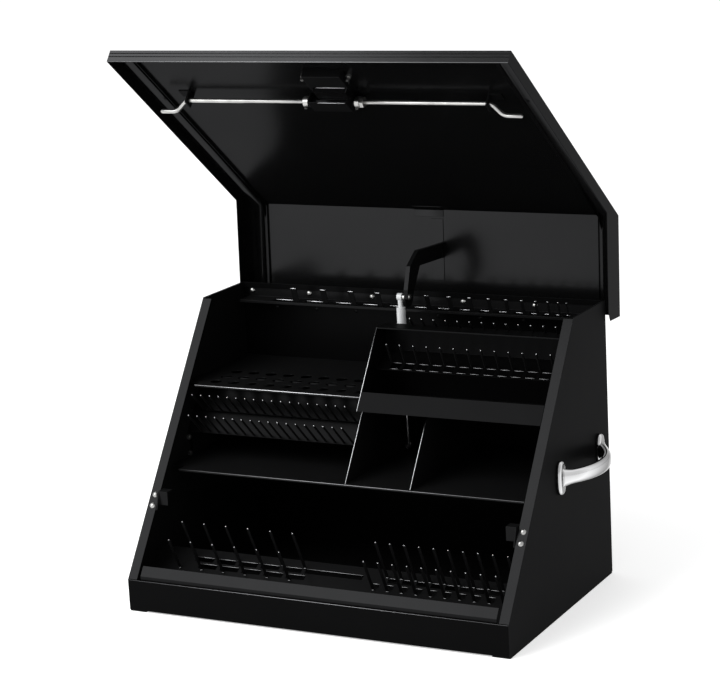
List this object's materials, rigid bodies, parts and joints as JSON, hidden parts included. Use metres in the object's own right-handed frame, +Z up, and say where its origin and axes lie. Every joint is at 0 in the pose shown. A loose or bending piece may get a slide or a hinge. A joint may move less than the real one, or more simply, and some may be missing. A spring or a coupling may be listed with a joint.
{
  "type": "tool chest",
  "caption": "Triangle top tool chest with a sloped lift-up lid, racks for hand tools, trays, a gas stay, a two-rod latch and side handles.",
  "frame": {"origin": "bottom centre of the box of the chest with its lid open, on the floor", "axes": "+X to the chest's right side seen from the front, +Y to the back, +Z up"},
  "size_m": [0.868, 0.545, 1.0218],
  "materials": {
    "black_powder_coat": "semi-gloss black powder coat",
    "zinc_steel": "bright zinc plate",
    "handle_chrome": "bright chrome plate",
    "strut_rod_chrome": "ground and hard chromed rod",
    "strut_grey": "light grey enamel",
    "seal_rubber": "matte black foam rubber"
  },
  "bodies": {
    "case": {"left_side_panel": "black_powder_coat", "right_side_panel": "black_powder_coat", "back_panel": "black_powder_coat", "front_lip_panel": "black_powder_coat", "bottom_panel": "black_powder_coat", "left_base_runner": "black_powder_coat", "right_base_runner": "black_powder_coat", "front_strip": "black_powder_coat", "lip_seal": "seal_rubber", "plier_rack": "black_powder_coat", "plier_rack_front_fingers": "black_powder_coat", "plier_rack_back_fingers": "black_powder_coat", "middle_shelf": "black_powder_coat", "centre_divider": "black_powder_coat", "bin_divider": "black_powder_coat", "socket_shelf": "black_powder_coat", "prong_rack": "black_powder_coat", "prong_rack_prongs": "black_powder_coat", "tray": "black_powder_coat", "tray_prongs": "black_powder_coat", "tray_upper_prongs": "black_powder_coat", "top_rack": "black_powder_coat", "top_rack_fingers": "black_powder_coat", "top_rack_bolts": "zinc_steel", "left_handle": "handle_chrome", "right_handle": "handle_chrome", "handle_screws": "zinc_steel", "left_keeper": "black_powder_coat", "right_keeper": "black_powder_coat", "keeper_screws": "zinc_steel", "hinge_case_leaf": "black_powder_coat", "hinge_pin": "zinc_steel", "hinge_case_rivets": "black_powder_coat", "strut_stud": "black_powder_coat"},
    "lid": {"hinge_lid_leaf": "black_powder_coat", "hinge_lid_rivets": "black_powder_coat", "lid_shell": "black_powder_coat", "lid_stiffener_left": "black_powder_coat", "lid_stiffener_right": "black_powder_coat", "lid_gussets": "black_powder_coat", "lid_centre_strip": "black_powder_coat", "lid_bend_bracket": "black_powder_coat", "latch_dish": "black_powder_coat", "latch_dish_screws": "zinc_steel", "paddle_pin": "zinc_steel", "lock_body": "handle_chrome", "latch_bracket": "black_powder_coat", "rod_guide_left": "black_powder_coat", "rod_guide_right": "black_powder_coat", "stay_arm": "black_powder_coat", "stay_bolt": "zinc_steel"},
    "paddle": {"latch_paddle": "handle_chrome"},
    "lock_plug": {"lock_plug": "handle_chrome"},
    "latch_bar": {"latch_hub": "black_powder_coat", "latch_collars": "zinc_steel", "latch_rod_left": "zinc_steel", "latch_rod_right": "zinc_steel"},
    "strut_rod": {"strut_rod": "strut_rod_chrome"},
    "strut_cylinder": {"strut_cylinder": "strut_grey"}
  },
  "joints": [
    {"name": "lid_hinge", "type": "hinge", "parent": "case", "child": "lid", "pos_m": [0, 0.21807, 0.4971], "axis": [1, 0, 0], "range_deg": [0, 91.85]},
    {"name": "paddle_pull", "type": "hinge", "parent": "lid", "child": "paddle", "pos_m": [0, -0.11496, 0.95696], "axis": [1, 0, 0], "range_deg": [-35, 0]},
    {"name": "latch_turn", "type": "hinge", "parent": "lid", "child": "latch_bar", "pos_m": [0, -0.0829, 0.91987], "axis": [1, 0, 0], "range_deg": [-80, 0]},
    {"name": "key_turn", "type": "hinge", "parent": "lid", "child": "lock_plug", "pos_m": [-0.006, -0.09702, 0.9508], "axis": [0, 0.6072, 0.7945], "range_deg": [0, 90]},
    {"name": "strut_tilt", "type": "hinge", "parent": "case", "child": "strut_rod", "pos_m": [0.01175, 0.12247, 0.24], "axis": [1, 0, 0], "range_deg": [-24.68, 0]},
    {"name": "strut_slide", "type": "slide", "parent": "strut_rod", "child": "strut_cylinder", "axis": [0, -0.0241, 0.9997], "range_m": [-0.12319, 0]}
  ],
  "couplings": [
    {"joint": "latch_turn", "follows": "paddle_pull", "ratio": 2.2857},
    {"joint": "strut_tilt", "follows": "lid_hinge", "ratio": -0.26847},
    {"joint": "strut_slide", "follows": "lid_hinge", "m_per_rad": -0.076723}
  ]
}
